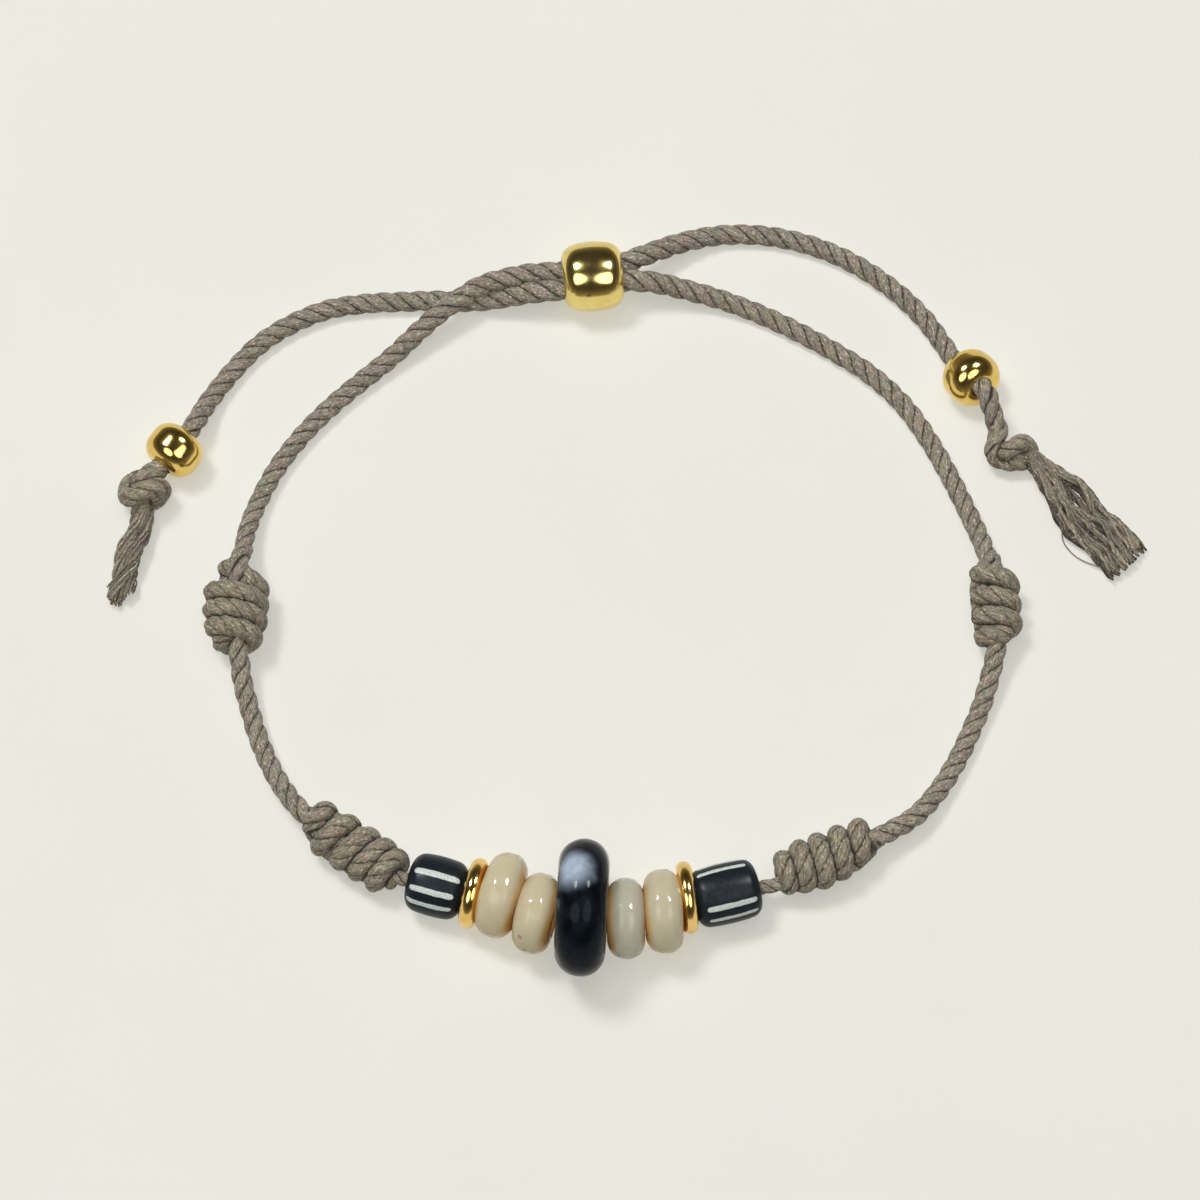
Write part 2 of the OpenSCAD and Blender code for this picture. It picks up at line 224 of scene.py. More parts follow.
# Short words for the nodes of a material, or of the room
class Nodes:
    def __init__(self, owner, shader="Principled BSDF"):
        owner.use_nodes = True
        self.owner = owner
        self.tree = owner.node_tree
        self.shader = self.tree.nodes[shader]

    # An input is named by its socket's name, or i and its number
    def add(self, kind, settings=None, **inputs):
        node = self.tree.nodes.new("ShaderNode" + kind)
        for key, value in (settings or {}).items():
            setattr(node, key, value)
        for key, value in inputs.items():
            self.feed(node, int(key[1:]) if key[0] == "i" and key[1:].isdigit() else key, value)
        return node

    def feed(self, node, key, value):
        if isinstance(value, bpy.types.NodeSocket):
            self.tree.links.new(value, node.inputs[key])
        else:
            node.inputs[key].default_value = value

    # Sets the shader's own sockets, by a plain value or by what a node gives
    def finish(self, sockets):
        for key, value in sockets.items():
            self.feed(self.shader, key, value)
        return self.owner

    def place(self):
        return self.add("TexCoord").outputs["Object"]

    # A bead's own millimetres, with its hole along Z
    def beadPlace(self):
        return self.add("Attribute", {"attribute_name": "beadPlace"}).outputs["Vector"]

    def axes(self, vector):
        return list(self.add("SeparateXYZ", Vector=vector).outputs)

    def mapped(self, vector, scale=(1, 1, 1), move=(0, 0, 0)):
        node = self.add("Mapping", Vector=vector, Location=move, Scale=scale)
        return node.outputs["Vector"]

    def math(self, operation, a, b=0.0, c=0.0):
        return self.add("Math", {"operation": operation}, i0=a, i1=b, i2=c).outputs[0]

    def plus(self, a, b):
        return self.math("ADD", a, b)

    def times(self, a, b):
        return self.math("MULTIPLY", a, b)

    # A noise that swings round zero
    def swing(self, noise, reach):
        return self.times(self.math("SUBTRACT", noise, 0.5), reach)

    def vector(self, operation, a, b=(0, 0, 0), c=(0, 0, 0)):
        node = self.add("VectorMath", {"operation": operation}, i0=a, i1=b, i2=c)
        return node.outputs["Value" if operation in ("LENGTH", "DISTANCE") else "Vector"]

    # From 0 at start to most at end
    def fade(self, value, start, end, most=1.0, way="SMOOTHSTEP"):
        node = self.add("MapRange", {"interpolation_type": way}, Value=value)
        for key, number in (("From Min", start), ("From Max", end), ("To Min", 0.0), ("To Max", most)):
            self.feed(node, key, number)
        return node.outputs["Result"]

    def ramp(self, value, stops, interpolation="EASE"):
        node = self.add("ValToRGB", Fac=value)
        node.color_ramp.interpolation = interpolation
        elements = node.color_ramp.elements
        while len(elements) < len(stops):
            elements.new(0.5)
        for element, (place, shade) in zip(elements, stops):
            element.position = place
            element.color = colour(*shade)
        return node.outputs["Color"]

    def mix(self, factor, a, b, blend="MIX"):
        node = self.add("Mix", {"data_type": "RGBA", "blend_type": blend}, i0=factor, i6=a, i7=b)
        return node.outputs[2]

    # What a noise gives in grey and in colour
    def clouds(self, vector, scale, detail=3.0, rough=0.5, distortion=0.0):
        node = self.add("TexNoise", Vector=vector, Scale=scale, Detail=detail, Roughness=rough,
                        Distortion=distortion)
        return node.outputs["Fac"], node.outputs["Color"]

    def noise(self, vector, scale, detail=3.0, rough=0.55):
        return self.clouds(vector, scale, detail, rough)[0]

    def bump(self, height, strength, distance, under=None):
        node = self.add("Bump", Height=height, Strength=strength, Distance=distance)
        if under is not None:
            self.feed(node, "Normal", under)
        return node.outputs["Normal"]


# Rope colours from the grooves to the crowns. The hues multiply them: some yarns are pinker, some greener.
ropeLook = {"groove": (0.016, 0.011, 0.007), "flank": (0.075, 0.058, 0.040), "body": (0.232, 0.199, 0.148),
            "crown": (0.270, 0.234, 0.179), "spark": (0.56, 0.50, 0.41), "sheen": (0.55, 0.62, 0.72),
            "fibreScale": (2.3, 4.8, 1.0), "fineScale": (4.4, 9.0, 1.0), "patchScale": 900.0,
            "hueSwing": (0.75, 0.55, 0.75), "hueLeast": (0.625, 0.725, 0.625),
            "sparks": 0.55, "dimmest": 0.35}


# spread is how much the yarns differ in brightness; olive takes blue out of the yarn
def ropeMaterial(name, brightness=1.0, spread=0.2, olive=0.0):
    n = Nodes(bpy.data.materials.new(name))
    yarn = n.add("Attribute", {"attribute_name": "yarn"}).outputs["Color"]
    shade, tone = n.add("SeparateColor", Color=yarn).outputs[:2]
    uv = n.add("UVMap", {"uv_map": "yarnMap"}).outputs["UV"]
    fibres, fibreHue = n.clouds(n.mapped(uv, ropeLook["fibreScale"]), 1.0, 3.0, 0.6, 0.5)
    fine = n.noise(n.mapped(uv, ropeLook["fineScale"]), 1.0, 2.0, 0.6)
    patchHue = n.clouds(n.place(), ropeLook["patchScale"], 2.0)[1]
    # Painted shade: the ramp darkens the grooves and flanks, and lights the crowns
    depth = n.plus(shade, n.swing(fibres, 0.45))
    base = n.ramp(depth, [(0.0, ropeLook["groove"]), (0.36, ropeLook["flank"]), (0.64, ropeLook["body"]),
                          (1.0, ropeLook["crown"])], "LINEAR")
    red, green, blue = ropeLook["hueLeast"]
    hue = n.mix(0.5, fibreHue, patchHue)
    hue = n.vector("MULTIPLY_ADD", hue, ropeLook["hueSwing"], (red, green, blue - olive))
    tinted = n.mix(1.0, base, hue, "MULTIPLY")
    flecks = n.plus(n.swing(fibres, 2.3), n.swing(fine, 2.6))
    # Painted glints: light flecks on the yarns, kept out of the grooves
    spark = n.times(n.math("GREATER_THAN", flecks, 0.50), n.math("GREATER_THAN", shade, 0.2))
    bright = n.mix(n.times(spark, ropeLook["sparks"]), tinted, colour(*ropeLook["spark"]))
    level = n.plus(brightness - spread / 2, n.times(tone, spread))
    value = n.times(level, n.math("MAXIMUM", n.plus(1.0, flecks), ropeLook["dimmest"]))
    return n.finish({
        "Base Color": n.add("HueSaturation", Color=bright, Value=value).outputs["Color"],
        "Roughness": 0.78, "Specular IOR Level": 0.3, "Sheen Weight": 0.22, "Sheen Roughness": 0.4,
        "Sheen Tint": colour(*ropeLook["sheen"]),
        "Normal": n.bump(fine, 0.6, 0.00005, n.bump(fibres, 0.9, 0.00009))})


def goldMaterial(name, pale, deep, rough=0.13):
    n = Nodes(bpy.data.materials.new(name))
    grain = n.noise(n.mapped(n.place(), (120.0, 2600.0, 2600.0)), 1.0)
    wear = n.noise(n.place(), 700.0)
    return n.finish({
        "Base Color": n.ramp(wear, [(0.3, deep), (0.7, pale)]), "Metallic": 1.0,
        "Roughness": n.plus(rough - 0.05, n.times(wear, 0.10)),
        "Normal": n.bump(grain, 0.06, 0.00002)})


# Each stripe: angle round the bead in degrees, width, length, and how far it sits along the bead
stripes = {
    "striped_bead_left": [
        (174, 0.57, 4.1, 0.1), (209.5, 0.54, 4.0, -0.05), (239, 0.5, 4.1, -0.1), (301, 0.5, 4.2, 0.1),
        (330, 0.54, 4.0, 0.0), (358, 0.5, 4.1, 0.1), (62, 0.52, 4.0, -0.1), (92, 0.5, 4.2, 0.0)],
    "striped_bead_right": [
        (144, 0.42, 4.4, -0.1), (221.5, 0.52, 4.5, 0.1), (249, 0.42, 4.4, 0.1), (332, 0.5, 4.4, 0.0),
        (2, 0.46, 4.5, -0.1), (31, 0.5, 4.3, 0.1), (88, 0.5, 4.4, 0.0), (116, 0.46, 4.4, 0.1)]}
stripedLook = {"black": [(0.3, (0.007, 0.011, 0.016)), (0.75, (0.014, 0.020, 0.026))],
               "white": [(0.3, (0.50, 0.55, 0.52)), (0.7, (0.70, 0.75, 0.72))],
               "radius": 2.7, "edgeOut": 0.035, "edgeIn": 0.045, "wobble": 0.12, "ragged": 0.07}


def stripedMaterial(name, bead):
    n = Nodes(bpy.data.materials.new(name))
    place = n.beadPlace()
    x, y, z = n.axes(place)
    wobble = n.swing(n.noise(place, 1.3, 1.0), stripedLook["wobble"])
    ragged = n.swing(n.noise(place, 9.0), stripedLook["ragged"])
    degrees = n.times(n.math("ARCTAN2", y, x), 180 / math.pi)
    mask = None
    for angle, wide, long, along in stripes[bead]:
        turned = n.math("WRAP", n.math("SUBTRACT", degrees, angle), 180.0, -180.0)
        sideways = n.plus(n.times(turned, stripedLook["radius"] * math.pi / 180), wobble)
        offset = n.math("ABSOLUTE", n.math("SUBTRACT", z, along))
        endways = n.math("MAXIMUM", n.math("SUBTRACT", offset, (long - wide) / 2), 0.0)
        squares = [n.times(part, part) for part in (sideways, endways)]
        reach = n.plus(n.math("SQRT", n.plus(*squares)), ragged)
        stripe = n.fade(reach, wide / 2 + stripedLook["edgeOut"], wide / 2 - stripedLook["edgeIn"])
        mask = stripe if mask is None else n.math("MAXIMUM", mask, stripe)
    cloudy = n.noise(place, 3.0, 4.0)
    black = n.ramp(cloudy, stripedLook["black"])
    white = n.ramp(n.noise(place, 6.0, 4.0), stripedLook["white"])
    pitted = n.bump(n.noise(place, 14.0, 4.0), 0.12, 0.00003)
    return n.finish({
        "Base Color": n.mix(mask, black, white), "Specular IOR Level": 0.14,
        "Roughness": n.plus(0.26, n.times(cloudy, 0.16)),
        "Normal": n.bump(mask, 0.35, 0.00004, pitted)})


# Painted shade: the milk turns darker and warmer towards the table, and the deep colour darkens the hole.
# warmHeight is where milk is half warm, in metres above the table, and warmRate how fast it turns.
# holeFade is where deep colour starts and is full, from the middle of the hole.
# amber is painted light and shade: the warm glow of light through the glass at a bead's ends
creamLook = {"milk": (0.598, 0.530, 0.355), "warmMilk": (0.550, 0.450, 0.225),
             "greyMilk": (0.470, 0.460, 0.372), "amberShade": (0.62, 0.35, 0.11),
             "deep": (0.33, 0.13, 0.03), "speck": (0.30, 0.12, 0.05),
             "warmHeight": 0.0046, "warmRate": 95.0, "halfLength": 1.7, "holeFade": (2.6, 1.8),
             "speckLevel": 0.735}
# Small spots in one ring: where, how wide, colour
creamMarks = [((-1.8, -2.88, -0.77), 0.34, (0.40, 0.17, 0.22)),
              ((-0.3, -3.39, -0.22), 0.30, (0.13, 0.05, 0.02))]


# seed moves the clouds, grey takes warmth out, and lean moves the painted amber shade at the bead's ends
# towards one end
def creamMaterial(name, seed, grey, lean, marks=()):
    n = Nodes(bpy.data.materials.new(name))
    place = n.beadPlace()
    moved = n.mapped(place, move=(seed, seed * 0.7, seed * 1.3))
    x, y, z = n.axes(place)
    height = n.axes(n.place())[2]
    # Painted shade: darker and warmer towards the table
    warmth = n.times(n.math("SUBTRACT", creamLook["warmHeight"], height), creamLook["warmRate"])
    clouds = n.plus(n.noise(moved, 0.45), warmth)
    # Painted light and shade: amber glow of light through the glass at the bead's ends, leaned towards one
    # end
    side = n.plus(n.math("ABSOLUTE", z), n.times(z, lean))
    ends = n.plus(n.math("DIVIDE", side, creamLook["halfLength"]), n.swing(clouds, 0.55))
    milk = n.ramp(clouds, [(0.35, creamLook["milk"]), (0.65, creamLook["warmMilk"])])
    milk = n.mix(grey, milk, colour(*creamLook["greyMilk"]))
    amberShade = n.ramp(ends, [(0.56, (0.0, 0.0, 0.0)), (0.96, (0.95, 0.95, 0.95))])
    base = n.mix(amberShade, milk, colour(*creamLook["amberShade"]))
    # Painted shade: the deep colour darkens the glass in and round the hole
    fromHole = n.math("SQRT", n.plus(n.times(x, x), n.times(y, y)))
    base = n.mix(n.fade(fromHole, *creamLook["holeFade"], 0.85, "LINEAR"), base, colour(*creamLook["deep"]))
    specks = n.math("GREATER_THAN", n.noise(moved, 3.6, 2.0), creamLook["speckLevel"])
    base = n.mix(n.times(specks, 0.45), base, colour(*creamLook["speck"]))
    for centre, wide, tint in marks:
        spot = n.fade(n.vector("DISTANCE", place, centre), wide, wide * 0.4, 0.8)
        base = n.mix(spot, base, colour(*tint))
    return n.finish({
        "Base Color": base, "Roughness": 0.09, "Specular IOR Level": 0.34,
        "Subsurface Weight": 0.35, "Subsurface Radius": (1.0, 0.62, 0.35), "Subsurface Scale": 0.0012,
        "Normal": n.bump(n.noise(moved, 1.1, 2.0), 0.10, 0.0002)})


# Black glass with milky patches: one high on the left, and a fainter streak under it.
# A patch is whole within inner and gone past outer.
discLook = {"black": [(0.3, (0.003, 0.0045, 0.007)), (0.7, (0.008, 0.011, 0.017))],
            "white": [(0.3, (0.36, 0.44, 0.55)), (0.7, (0.46, 0.55, 0.65))], "warp": 0.9,
            "patches": [{"centre": (-4.8, 2.35, -0.45), "squash": (1.0, 0.95, 1.0),
                         "inner": 0.45, "outer": 2.4, "most": 1.0},
                        {"centre": (-4.6, -1.2, -1.95), "squash": (0.9, 0.6, 2.0),
                         "inner": 0.3, "outer": 1.2, "most": 0.5}]}


def discMaterial(name):
    n = Nodes(bpy.data.materials.new(name))
    place = n.beadPlace()
    warped = n.vector("MULTIPLY_ADD", n.clouds(place, 0.5)[1], [discLook["warp"]] * 3, place)
    masks = []
    for patch in discLook["patches"]:
        away = n.vector("MULTIPLY", n.vector("SUBTRACT", warped, patch["centre"]), patch["squash"])
        masks.append(n.fade(n.vector("LENGTH", away), patch["outer"], patch["inner"], patch["most"]))
    black = n.ramp(n.noise(place, 0.8), discLook["black"])
    white = n.ramp(n.noise(place, 1.6), discLook["white"])
    return n.finish({
        "Base Color": n.mix(n.math("MAXIMUM", *masks), black, white),
        "Roughness": 0.12, "Specular IOR Level": 0.06,
        "Normal": n.bump(n.noise(place, 0.7, 2.0), 0.10, 0.0002)})


ropeYarn = ropeMaterial("ropeYarn")
knotYarn = ropeMaterial("knotYarn", 0.98, 0.2, 0.07)
looseYarn = ropeMaterial("looseYarn", 1.0, 0.8, 0.03)
slideGold = goldMaterial("slideGold", (0.86, 0.69, 0.25), (0.78, 0.60, 0.19), 0.14)
stopperGold = goldMaterial("stopperGold", (0.85, 0.62, 0.19), (0.77, 0.53, 0.14))
spacerGold = goldMaterial("spacerGold", (0.88, 0.62, 0.22), (0.80, 0.52, 0.15))
print("materials made")


# Middle lines of the ropes
routes = {
    "rope_left": [
        (-33.2, 5.2, 2.7), (-33.0, 7.3, 1.9), (-32.2, 10.2, 1.1), (-30.6, 13.7, 0.9), (-28.4, 16.9, 0.9),
        (-26.0, 19.6, 0.9), (-23.2, 22.2, 0.9), (-20.2, 24.7, 1.2), (-17.5, 27.1, 2.1), (-15.0, 29.1, 2.7),
        (-12.2, 31.0, 2.9), (-9.1, 31.9, 3.1), (-6.9, 32.2, 3.2), (-4.8, 32.3, 3.2), (-2.1, 32.7, 3.2)],
    "rope_right": [
        (33.6, 4.7, 2.4), (33.0, 6.9, 1.7), (31.9, 9.9, 1.0), (30.4, 13.3, 0.9), (28.7, 16.6, 0.9),
        (26.5, 20.0, 0.9), (23.7, 22.9, 0.9), (20.6, 25.1, 0.9), (17.1, 27.2, 0.9), (13.6, 29.0, 0.9),
        (10.1, 30.3, 1.2), (6.8, 31.0, 1.9), (3.8, 31.3, 2.8), (1.0, 31.3, 3.2), (-1.6, 30.9, 3.2)],
    "rope_front_left": [
        (-33.3, -5.0, 2.7), (-33.0, -7.1, 2.1), (-32.3, -9.6, 1.4), (-31.4, -12.4, 1.2),
        (-30.2, -15.1, 1.4), (-28.9, -17.4, 2.1), (-27.6, -19.1, 2.6)],
    "rope_front_right": [
        (34.1, -4.2, 2.4), (33.6, -6.3, 1.8), (32.8, -8.9, 1.2), (31.7, -11.5, 1.0), (30.4, -14.2, 1.0),
        (28.7, -17.0, 1.3), (26.5, -19.6, 2.0), (23.3, -21.6, 2.5)],
    "bead_cord": [
        (-18.4, -25.5, 2.7), (-15.5, -26.2, 2.9), (-12.7, -26.9, 3.2), (-9.9, -27.8, 3.9),
        (-7.0, -28.6, 4.7), (-4.9, -29.0, 5.2), (-0.5, -29.1, 5.2), (1.5, -29.0, 4.7), (4.4, -28.4, 3.9),
        (7.1, -27.5, 3.1), (10.2, -26.9, 2.8), (13.8, -26.1, 2.6)],
    "tail_left": [
        (-1.9, 30.9, 3.2), (-4.5, 30.5, 3.2), (-7.2, 30.2, 2.8), (-10.0, 30.1, 1.9), (-12.8, 30.2, 1.1),
        (-15.9, 30.4, 0.9), (-19.3, 30.3, 0.9), (-22.8, 30.1, 0.9), (-26.2, 29.5, 0.9), (-29.4, 28.1, 0.9),
        (-32.3, 26.1, 0.9), (-34.8, 23.3, 0.9), (-36.9, 20.1, 1.3), (-38.3, 16.9, 2.7), (-41.2, 13.0, 2.4)],
    "tail_right": [
        (-1.8, 32.7, 3.2), (0.7, 33.2, 3.2), (3.4, 34.5, 2.7), (6.3, 35.9, 1.7), (9.7, 36.9, 1.0),
        (13.2, 37.0, 0.9), (16.7, 36.4, 0.9), (20.1, 35.2, 0.9), (23.3, 33.4, 0.9), (26.2, 31.1, 0.9),
        (28.6, 28.5, 0.9), (30.3, 25.9, 0.9), (31.5, 23.8, 1.4), (33.6, 20.3, 4.0), (34.1, 18.9, 3.9),
        (34.5, 17.8, 3.2), (34.9, 16.9, 2.5)]}

centreLines = {name: smoothRoute(points) for name, points in routes.items()}

# Points before the start and after the end of each rope, where it goes into the knots
loopRopes = {
    "rope_left": {
        "before": [(-33.5, 1.2, 3.9), (-33.45, 2.2, 4.8), (-33.4, 3.3, 5.0), (-33.3, 4.3, 4.1)],
        "phase": 0.4, "size": (0.94, 0.97, 1.02, 1.05, 1.16)},
    "rope_right": {
        "before": [(33.9, 2.2, 3.4), (33.8, 3.4, 3.2)],
        "phase": 2.1, "size": (1.0, 1.01, 1.03, 1.04, 1.2)},
    "rope_front_left": {
        "before": [(-33.6, -2.6, 3.3), (-33.5, -3.8, 3.1)],
        "after": [(-26.6, -20.0, 2.9), (-25.4, -20.8, 3.0)],
        "phase": 1.0, "size": 1.02},
    "rope_front_right": {
        "before": [(34.2, -1.8, 2.6), (34.2, -3.0, 2.6)], "after": [(22.3, -22.1, 2.7), (21.0, -22.6, 2.8)],
        "phase": 0.2, "size": 1.02}}
thinCord = {"size": 0.74, "phase": 0.5, "before": 1.0, "after": 1.2}
tailRopes = {"size": (1.17, 1.07, 1.04, 1.03, 1.03), "phases": {"tail_left": 0.9, "tail_right": 2.6}}
# Beside the slide bead the ropes press on each other: the place along X, and the shift along Y
leans = {"rope_left": (-8.0, -0.06), "tail_left": (-8.5, 0.24),
         "rope_right": (2.2, 0.10), "tail_right": (2.6, -0.14)}
leanReach = 3.6


def leanTogether(name, path):
    at, shift = leans.get(name, (0.0, 0.0))
    moved = path.copy()
    moved[:, 1] += shift * np.exp(-((path[:, 0] - at) / leanReach) ** 2)
    return moved


# A cord made longer at both ends, where it runs on into a knot
def runOn(path, before, after):
    back, ahead = path[0] - path[3], path[-1] - path[-4]
    start = path[0] + back / np.linalg.norm(back) * before
    end = path[-1] + ahead / np.linalg.norm(ahead) * after
    return smoothRoute([start, *path[::4], path[-1], end])


def finishPiece(piece, node):
    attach(piece, "root")
    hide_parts(node)
    return piece


def layRope(name, path, size, phase):
    return finishPiece(meshFromTubes("twisted_" + name, ropeTubes(path, size, phase), ropeYarn), name)


for name, rope in loopRopes.items():
    path = smoothRoute(rope["before"] + routes[name] + rope.get("after", []))
    layRope(name, leanTogether(name, path), rope["size"], rope["phase"])
path = runOn(centreLines["bead_cord"], thinCord["before"], thinCord["after"])
layRope("bead_cord", path, thinCord["size"], thinCord["phase"])
for name, phase in tailRopes["phases"].items():
    layRope(name, leanTogether(name, centreLines[name]), tailRopes["size"], phase)
print("ropes laid")


# Each row of a barrel knot: turn in degrees, place along its middle line, distance from that line.
# At 90 degrees the rope passes over the top; at 0 it is on the left of the line's direction.
# runs are ropes that go lengthways: offset to the left, height, first and last place.
barrelKnots = {
    "knot_left": {
        "line": ((-33.3, 4.8, 3.05), (-33.5, -4.7, 3.05)), "shift": -0.25,
        "phase": 0.3, "size": 1.02, "full": 0.85, "tight": 1.2, "rows": [
            (360, 2.2, 0.15), (300, 1.6, 0.35), (240, 1.25, 0.65), (180, 1.5, 0.95), (90, 2.2, 1.2),
            (0, 3.3, 1.95), (-90, 3.6, 2.0), (-180, 3.8, 2.15), (-270, 4.3, 2.05), (-360, 4.85, 2.0),
            (-450, 5.15, 2.05), (-540, 5.45, 2.15), (-630, 5.95, 2.05), (-720, 6.4, 1.95),
            (-810, 6.75, 1.9), (-900, 7.0, 1.95), (-990, 7.55, 1.8), (-1080, 7.95, 1.6), (-1170, 8.2, 1.55),
            (-1260, 8.2, 1.2), (-1310, 7.8, 0.8), (-1350, 7.2, 0.4)],
        "runs": [
            (0.55, 0.35, 2.6, 7.4), (-0.6, 0.3, 2.4, 7.4), (-1.15, 0.3, 1.7, 4.3)]},
    "knot_right": {
        "line": ((33.8, 4.3, 2.5), (34.25, -3.8, 2.5)), "shift": 0.1,
        "phase": 1.3, "size": 1.0, "full": 0.9, "tight": 1.2, "rows": [
            (360, 2.0, 0.15), (300, 1.35, 0.5), (240, 0.95, 0.95), (180, 1.2, 1.2), (90, 1.8, 1.4),
            (0, 2.55, 1.55), (-90, 2.95, 1.5), (-180, 3.3, 1.35), (-270, 3.85, 1.45), (-360, 4.4, 1.55),
            (-450, 4.85, 1.45), (-540, 5.25, 1.35), (-630, 5.7, 1.4), (-720, 6.1, 1.45), (-810, 6.65, 1.35),
            (-900, 7.15, 1.3), (-990, 7.35, 1.0), (-1060, 7.0, 0.5)],
        "runs": [
            (-1.2, -0.3, 1.2, 6.8), (0.4, 0.0, 0.6, 6.4)]},
    "knot_front_left": {
        "line": ((-26.9, -19.72, 2.65), (-18.2, -25.62, 2.65)), "shift": 0.16,
        "phase": 2.2, "size": [1.12] + [1.04] * 6, "full": 0.5, "tight": 1.3, "rows": [
            (260, 1.6, 0.15), (200, 1.0, 0.45), (140, 0.8, 0.85), (90, 1.0, 1.1), (30, 1.15, 1.05),
            (-20, 1.4, 1.0), (-90, 1.95, 1.25), (-180, 2.45, 1.8), (-270, 3.05, 1.4), (-360, 3.7, 1.2),
            (-450, 4.15, 1.5), (-540, 4.6, 1.9), (-630, 5.2, 1.5), (-720, 5.75, 1.25), (-810, 6.1, 1.5),
            (-900, 6.5, 1.85), (-990, 7.05, 1.5), (-1080, 7.55, 1.2), (-1170, 7.95, 1.5),
            (-1260, 8.25, 1.8), (-1350, 8.6, 1.45), (-1440, 9.0, 0.95), (-1530, 9.15, 1.1),
            (-1590, 9.1, 0.9), (-1650, 8.8, 0.4)],
        "runs": [
            (-1.35, -0.7, 1.6, 7.9), (0.1, -0.2, 0.2, 8.4), (-0.7, 0.35, 1.2, 7.8), (0.95, 0.2, 1.4, 7.8)]},
    "knot_front_right": {
        "line": ((22.9, -21.8, 2.65), (13.9, -25.6, 2.65)), "shift": -0.25,
        "phase": 0.8, "size": 1.04, "full": 0.5, "tight": 1.3, "rows": [
            (100, 1.7, 0.15), (40, 1.1, 0.45), (-20, 0.7, 0.75), (-90, 0.6, 0.9), (-190, 0.95, 1.15),
            (-270, 1.4, 1.3), (-360, 1.8, 1.2), (-450, 2.25, 1.4), (-540, 2.85, 1.25), (-630, 3.25, 1.45),
            (-720, 3.65, 1.75), (-810, 4.15, 1.5), (-900, 4.7, 1.3), (-990, 5.1, 1.5), (-1080, 5.4, 1.9),
            (-1170, 5.95, 1.5), (-1260, 6.5, 1.35), (-1350, 6.8, 1.5), (-1440, 7.1, 1.6),
            (-1530, 7.6, 1.35), (-1620, 8.1, 1.05), (-1710, 8.4, 1.1), (-1800, 8.5, 1.15),
            (-1880, 8.5, 0.9), (-1950, 8.1, 0.4)],
        "runs": [
            (1.1, -0.95, 1.5, 7.8), (0.0, -0.2, 0.2, 7.2), (0.5, 0.35, 1.2, 7.2), (-0.95, 0.2, 1.4, 7.0)]}}
# The two overhand knots, as the points that the rope follows
overhandKnots = {
    "end_knot_left": {"phase": 0.03, "size": [1.06] + [1.02] * 6, "full": 0.6, "tight": 1.15, "points": [
        (-40.85, 13.45, 2.45), (-41.45, 12.9, 2.6), (-42.0, 12.4, 2.9), (-42.8, 11.5, 2.7),
        (-43.0, 10.8, 1.6), (-42.2, 10.6, 0.95), (-41.2, 10.9, 1.2), (-40.75, 11.3, 2.2),
        (-41.3, 11.05, 3.4), (-42.4, 10.45, 3.75), (-43.5, 10.2, 3.0), (-43.9, 11.0, 2.2),
        (-43.5, 12.0, 2.1), (-42.9, 12.3, 2.2), (-42.3, 12.1, 1.7), (-42.1, 11.3, 1.0), (-42.5, 10.3, 1.2),
        (-42.6, 9.2, 1.5)]},
    "end_knot_right": {"phase": 0.66, "size": [1.08] + [0.93] * 6, "full": 0.6, "tight": 1.15, "points": [
        (34.78, 17.2, 2.74), (34.85, 16.6, 2.5), (34.65, 15.9, 2.5), (34.42, 15.3, 2.45),
        (34.45, 14.7, 1.9), (35.2, 14.3, 1.6), (36.3, 14.2, 1.5), (37.2, 14.45, 1.2), (37.75, 15.05, 1.3),
        (37.6, 15.55, 2.1), (36.95, 15.6, 2.85), (36.2, 15.1, 3.1), (35.5, 14.8, 2.6), (35.3, 14.9, 1.5),
        (35.9, 15.0, 0.95), (37.0, 14.7, 0.95), (38.2, 14.3, 1.2)]}}
windStep = 0.08
turnScale = 60  # degrees that count as 1 mm while the rows are smoothed
# A lengthways rope lies all the way out between near its ends, and tucks in at them and past them
runShape = {"size": 0.95, "near": 1.4, "endOut": 0.75, "past": 0.8, "pastOut": 0.3}


def lineAxes(line):
    start, end = np.array(line[0]), np.array(line[1])
    along = (end - start) / np.linalg.norm(end - start)
    left = np.cross((0, 0, 1.0), along)
    left = left / np.linalg.norm(left)
    return start, along, left, np.cross(along, left)


def windingPath(knot):
    start, along, left, up = lineAxes(knot["line"])
    table = smoothRoute([(turn / turnScale, place, away) for turn, place, away in knot["rows"]], windStep)
    turn = np.radians(table[:, 0] * turnScale)[:, None]
    away = table[:, 2:3]
    aside = left * (knot["shift"] + away * np.cos(turn))
    path = start + along * table[:, 1:2] + aside + up * away * np.sin(turn)
    return smoothRoute(path[::2])


# A rope inside or beside the wraps, tucked in at both of its ends
def runPath(knot, offset, height, first, last):
    start, along, left, up = lineAxes(knot["line"])
    past, near = runShape["past"], runShape["near"]
    places = (first - past, first, first + near, (first + last) / 2, last - near, last, last + past)
    outs = (runShape["pastOut"], runShape["endOut"], 1.0, 1.0, 1.0, runShape["endOut"], runShape["pastOut"])
    return smoothRoute([start + along * place + left * offset * out + up * height * out
                        for place, out in zip(places, outs)])


def tieKnot(name, kind, ropes):
    return finishPiece(meshFromTubes(kind + name, contactShadedTubes(ropes), knotYarn), name)


for name, knot in barrelKnots.items():
    pressed = knot["full"], knot["tight"]
    ropes = [(windingPath(knot), knot["size"], knot["phase"], *pressed)]
    for i, run in enumerate(knot["runs"]):
        ropes.append((runPath(knot, *run), runShape["size"], knot["phase"] + 1.0 + i, *pressed))
    tieKnot(name, "wound_", ropes)
for name, knot in overhandKnots.items():
    path = smoothRoute(knot["points"])
    rope = (path, knot["size"], knot["phase"], knot["full"], knot["tight"])
    tieKnot(name, "tied_", [rope])
print("knots wound")


# From one yarn to the next in a frayed strand the angle turns by goldenTurn, in radians, which
# spreads the yarns evenly
goldenTurn = 2.399
fraySpacing = 0.25
